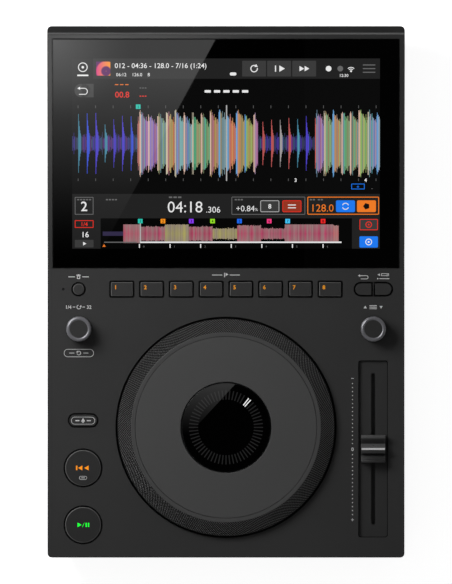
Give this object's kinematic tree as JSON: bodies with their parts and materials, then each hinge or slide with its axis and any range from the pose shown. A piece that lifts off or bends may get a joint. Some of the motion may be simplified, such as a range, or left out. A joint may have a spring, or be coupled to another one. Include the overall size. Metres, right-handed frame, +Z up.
{
  "type": "tabletop dj media player",
  "caption": "Tabletop DJ media player with a sloping touch screen, a jog wheel round a small display, cue keys, two push knobs and a tempo fader.",
  "frame": {"origin": "middle of the footprint, on the table", "axes": "+Z up, +X to the player's right, +Y back towards the screen and the connectors"},
  "size_m": [0.252, 0.375, 0.0901],
  "materials": {
    "deck_plastic": "fine matt texture",
    "frame_plastic": "satin",
    "base_plastic": "matt",
    "foot_rubber": "matt",
    "screw_steel": "blackened",
    "cover_glass": "polished black glass",
    "display_metal": "satin",
    "sheet_steel": "zinc plated",
    "post_plastic": "matt",
    "lens_plastic": "gloss black",
    "circuit_board": "solder mask",
    "socket_plastic": "matt",
    "bearing_steel": "polished",
    "heat_sink_metal": "black anodised",
    "socket_metal": "nickel plated",
    "jog_plastic": "satin",
    "platter_metal": "dark fine matt anodised",
    "hub_plastic": "matt",
    "cage_brass": "plain",
    "shaft_steel": "turned",
    "knob_metal": "dark silver with bright shoulder",
    "key_plastic": "satin"
  },
  "bodies": {
    "chassis": {"top_case": "deck_plastic", "screen_bezel": "frame_plastic", "bottom_case": "base_plastic", "rear_panel": "base_plastic", "rubber_feet": "foot_rubber", "case_screws": "screw_steel", "screen_glass": "cover_glass", "lcd_module": "display_metal", "lcd_bracket": "sheet_steel", "jog_plate": "sheet_steel", "jog_post": "post_plastic", "jog_lens": "lens_plastic", "jog_display": "circuit_board", "jog_sensor": "socket_plastic", "bearing_inner_race": "bearing_steel", "control_board": "circuit_board", "key_switches": "socket_plastic", "main_board": "circuit_board", "heat_sink": "heat_sink_metal", "power_supply": "circuit_board", "rca_jacks": "socket_metal", "usb_sockets": "socket_metal", "lan_socket": "socket_metal", "mains_inlet": "socket_plastic", "power_switch": "socket_plastic", "fader_body": "sheet_steel", "fader_plate": "deck_plastic", "beat_loop_encoder": "sheet_steel", "browse_encoder": "sheet_steel"},
    "jog_wheel": {"jog_ring": "jog_plastic", "jog_platter": "platter_metal", "jog_hub": "hub_plastic", "encoder_disc": "sheet_steel", "bearing_outer_race": "bearing_steel"},
    "jog_bearing": {"bearing_cage": "cage_brass", "bearing_balls": "bearing_steel"},
    "tempo_slider": {"fader_lever": "sheet_steel", "fader_cap": "key_plastic"},
    "beat_loop_push": {"beat_loop_plunger": "cage_brass"},
    "beat_loop_dial": {"beat_loop_shaft": "shaft_steel", "beat_loop_knob": "knob_metal"},
    "browse_push": {"browse_plunger": "cage_brass"},
    "browse_dial": {"browse_shaft": "shaft_steel", "browse_knob": "knob_metal"},
    "hot_cue_1": {"hot_cue_key_1": "key_plastic"},
    "hot_cue_2": {"hot_cue_key_2": "key_plastic"},
    "hot_cue_3": {"hot_cue_key_3": "key_plastic"},
    "hot_cue_4": {"hot_cue_key_4": "key_plastic"},
    "hot_cue_5": {"hot_cue_key_5": "key_plastic"},
    "hot_cue_6": {"hot_cue_key_6": "key_plastic"},
    "hot_cue_7": {"hot_cue_key_7": "key_plastic"},
    "hot_cue_8": {"hot_cue_key_8": "key_plastic"},
    "delete_button": {"delete_key": "key_plastic"},
    "back_button": {"back_key": "key_plastic"},
    "tag_button": {"tag_key": "key_plastic"},
    "shift_button": {"shift_key": "key_plastic"},
    "cue_button": {"cue_key": "key_plastic"},
    "play_button": {"play_key": "key_plastic"},
    "rocker": {"power_rocker": "socket_plastic"}
  },
  "joints": [
    {"name": "jog_turn", "type": "hinge", "parent": "chassis", "child": "jog_wheel", "pos_m": [0, -0.0955, 0.06], "axis": [0, 0, 1], "continuous": true},
    {"name": "bearing_turn", "type": "hinge", "parent": "chassis", "child": "jog_bearing", "pos_m": [0, -0.0955, 0.0535], "axis": [0, 0, 1], "continuous": true},
    {"name": "tempo_slide", "type": "slide", "parent": "chassis", "child": "tempo_slider", "axis": [0, -1, 0], "range_m": [-0.05, 0.05]},
    {"name": "beat_loop_press", "type": "slide", "parent": "chassis", "child": "beat_loop_push", "axis": [0, 0, -1], "range_m": [0, 0.0005], "stiffness_N_per_m": 1200, "springref_m": -0.0006},
    {"name": "beat_loop_turn", "type": "hinge", "parent": "beat_loop_push", "child": "beat_loop_dial", "pos_m": [-0.1039, -0.0261, 0.07], "axis": [0, 0, 1], "continuous": true},
    {"name": "browse_press", "type": "slide", "parent": "chassis", "child": "browse_push", "axis": [0, 0, -1], "range_m": [0, 0.0005], "stiffness_N_per_m": 1200, "springref_m": -0.0006},
    {"name": "browse_turn", "type": "hinge", "parent": "browse_push", "child": "browse_dial", "pos_m": [0.1039, -0.0261, 0.07], "axis": [0, 0, 1], "continuous": true},
    {"name": "hot_cue_1_press", "type": "slide", "parent": "chassis", "child": "hot_cue_1", "axis": [0, 0, -1], "range_m": [0, 0.001], "stiffness_N_per_m": 300, "springref_m": -0.0005},
    {"name": "hot_cue_2_press", "type": "slide", "parent": "chassis", "child": "hot_cue_2", "axis": [0, 0, -1], "range_m": [0, 0.001], "stiffness_N_per_m": 300, "springref_m": -0.0005},
    {"name": "hot_cue_3_press", "type": "slide", "parent": "chassis", "child": "hot_cue_3", "axis": [0, 0, -1], "range_m": [0, 0.001], "stiffness_N_per_m": 300, "springref_m": -0.0005},
    {"name": "hot_cue_4_press", "type": "slide", "parent": "chassis", "child": "hot_cue_4", "axis": [0, 0, -1], "range_m": [0, 0.001], "stiffness_N_per_m": 300, "springref_m": -0.0005},
    {"name": "hot_cue_5_press", "type": "slide", "parent": "chassis", "child": "hot_cue_5", "axis": [0, 0, -1], "range_m": [0, 0.001], "stiffness_N_per_m": 300, "springref_m": -0.0005},
    {"name": "hot_cue_6_press", "type": "slide", "parent": "chassis", "child": "hot_cue_6", "axis": [0, 0, -1], "range_m": [0, 0.001], "stiffness_N_per_m": 300, "springref_m": -0.0005},
    {"name": "hot_cue_7_press", "type": "slide", "parent": "chassis", "child": "hot_cue_7", "axis": [0, 0, -1], "range_m": [0, 0.001], "stiffness_N_per_m": 300, "springref_m": -0.0005},
    {"name": "hot_cue_8_press", "type": "slide", "parent": "chassis", "child": "hot_cue_8", "axis": [0, 0, -1], "range_m": [0, 0.001], "stiffness_N_per_m": 300, "springref_m": -0.0005},
    {"name": "delete_press", "type": "slide", "parent": "chassis", "child": "delete_button", "axis": [0, 0, -1], "range_m": [0, 0.001], "stiffness_N_per_m": 300, "springref_m": -0.0005},
    {"name": "back_press", "type": "slide", "parent": "chassis", "child": "back_button", "axis": [0, 0, -1], "range_m": [0, 0.001], "stiffness_N_per_m": 300, "springref_m": -0.0005},
    {"name": "tag_press", "type": "slide", "parent": "chassis", "child": "tag_button", "axis": [0, 0, -1], "range_m": [0, 0.001], "stiffness_N_per_m": 300, "springref_m": -0.0005},
    {"name": "shift_press", "type": "slide", "parent": "chassis", "child": "shift_button", "axis": [0, 0, -1], "range_m": [0, 0.001], "stiffness_N_per_m": 300, "springref_m": -0.0005},
    {"name": "cue_press", "type": "slide", "parent": "chassis", "child": "cue_button", "axis": [0, 0, -1], "range_m": [0, 0.001], "stiffness_N_per_m": 500, "springref_m": -0.0006},
    {"name": "play_press", "type": "slide", "parent": "chassis", "child": "play_button", "axis": [0, 0, -1], "range_m": [0, 0.001], "stiffness_N_per_m": 500, "springref_m": -0.0006},
    {"name": "rocker_tilt", "type": "hinge", "parent": "chassis", "child": "rocker", "pos_m": [0.046, 0.1747, 0.03], "axis": [1, 0, 0], "range_deg": [0, 18]}
  ],
  "couplings": [
    {"joint": "bearing_turn", "follows": "jog_turn", "ratio": 0.5268}
  ]
}
